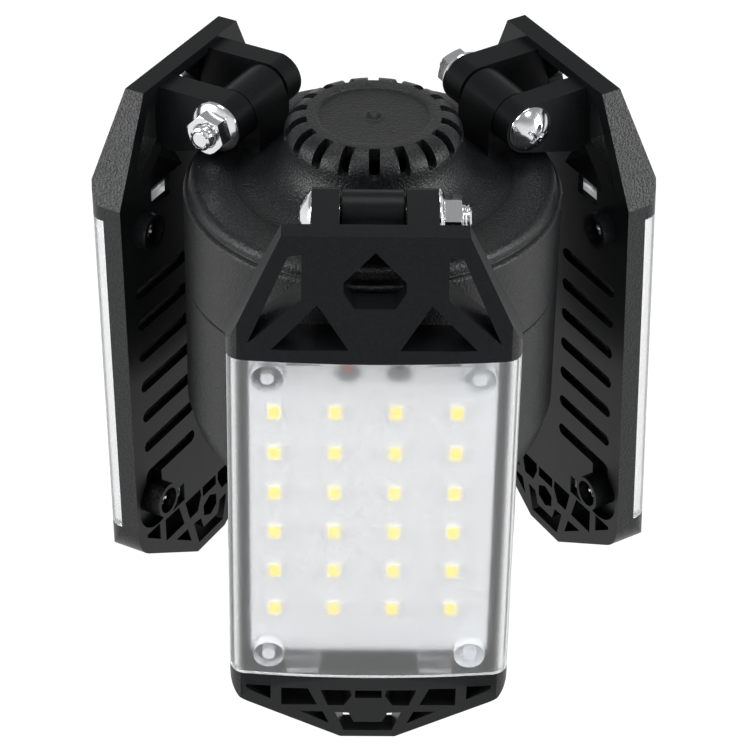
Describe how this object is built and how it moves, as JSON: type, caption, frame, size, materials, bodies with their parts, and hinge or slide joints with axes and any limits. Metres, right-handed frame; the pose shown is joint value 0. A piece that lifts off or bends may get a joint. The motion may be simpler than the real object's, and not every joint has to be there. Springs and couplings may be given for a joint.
{
  "type": "deformable garage light",
  "caption": "Screw-in garage light with a vented round hub and hinged, lattice-ended light panels under clear lenses, shown folded down.",
  "frame": {"origin": "on the hub's axis at the lower end of the cap's screw shell", "axes": "+Z along the hub's axis, away from the screw cap and towards the vented dome; -Y towards the front panel; +X towards the right as seen from the front"},
  "size_m": [0.1239, 0.1089, 0.1314],
  "materials": {
    "shell_black": "fine moulded grain",
    "lens_clear": "clear moulded polycarbonate",
    "board_white": "white solder mask on an aluminium board",
    "chip_yellow": "phosphor cast in a chip",
    "lead_red": "insulated lead",
    "hardware_zinc": "bright zinc plated",
    "cap_metal": "nickel plated",
    "insulator_black": "smooth",
    "contact_brass": "satin",
    "board_green": "green solder mask",
    "winding_yellow": "winding tape",
    "can_sleeve": "heat-shrink sleeve",
    "choke_brown": "lacquered copper wire",
    "epoxy_black": "moulded epoxy",
    "fuse_grey": "glazed body",
    "connector_white": "moulded nylon"
  },
  "bodies": {
    "hub": {"hub_upper_shell": "shell_black", "hub_lower_shell": "shell_black", "screw_shell": "cap_metal", "cap_insulator": "insulator_black", "centre_contact": "contact_brass", "driver_board": "board_green", "driver_board_screws": "hardware_zinc", "transformer": "winding_yellow", "bulk_capacitor": "can_sleeve", "output_capacitor": "can_sleeve", "filter_choke": "choke_brown", "bridge_rectifier": "epoxy_black", "supply_fuse": "fuse_grey", "panel_connectors": "connector_white"},
    "front_panel": {"front_housing": "shell_black", "front_lens": "lens_clear", "front_led_board": "board_white", "front_leds": "chip_yellow", "front_leads": "lead_red", "front_lens_screws": "hardware_zinc", "front_hinge_bolt": "hardware_zinc", "front_hinge_nut": "hardware_zinc"},
    "left_panel": {"left_housing": "shell_black", "left_lens": "lens_clear", "left_led_board": "board_white", "left_leds": "chip_yellow", "left_leads": "lead_red", "left_lens_screws": "hardware_zinc", "left_hinge_bolt": "hardware_zinc", "left_hinge_nut": "hardware_zinc"},
    "right_panel": {"right_housing": "shell_black", "right_lens": "lens_clear", "right_led_board": "board_white", "right_leds": "chip_yellow", "right_leads": "lead_red", "right_lens_screws": "hardware_zinc", "right_hinge_bolt": "hardware_zinc", "right_hinge_nut": "hardware_zinc"}
  },
  "joints": [
    {"name": "front_hinge", "type": "hinge", "parent": "hub", "child": "front_panel", "pos_m": [0, -0.031, 0.1154], "axis": [-1, 0, 0], "range_deg": [-3, 90]},
    {"name": "left_hinge", "type": "hinge", "parent": "hub", "child": "left_panel", "pos_m": [-0.02685, 0.0155, 0.1154], "axis": [0.5, 0.866, 0], "range_deg": [-1.7, 91.3]},
    {"name": "right_hinge", "type": "hinge", "parent": "hub", "child": "right_panel", "pos_m": [0.02685, 0.0155, 0.1154], "axis": [0.5, -0.866, 0], "range_deg": [-5, 88]}
  ]
}
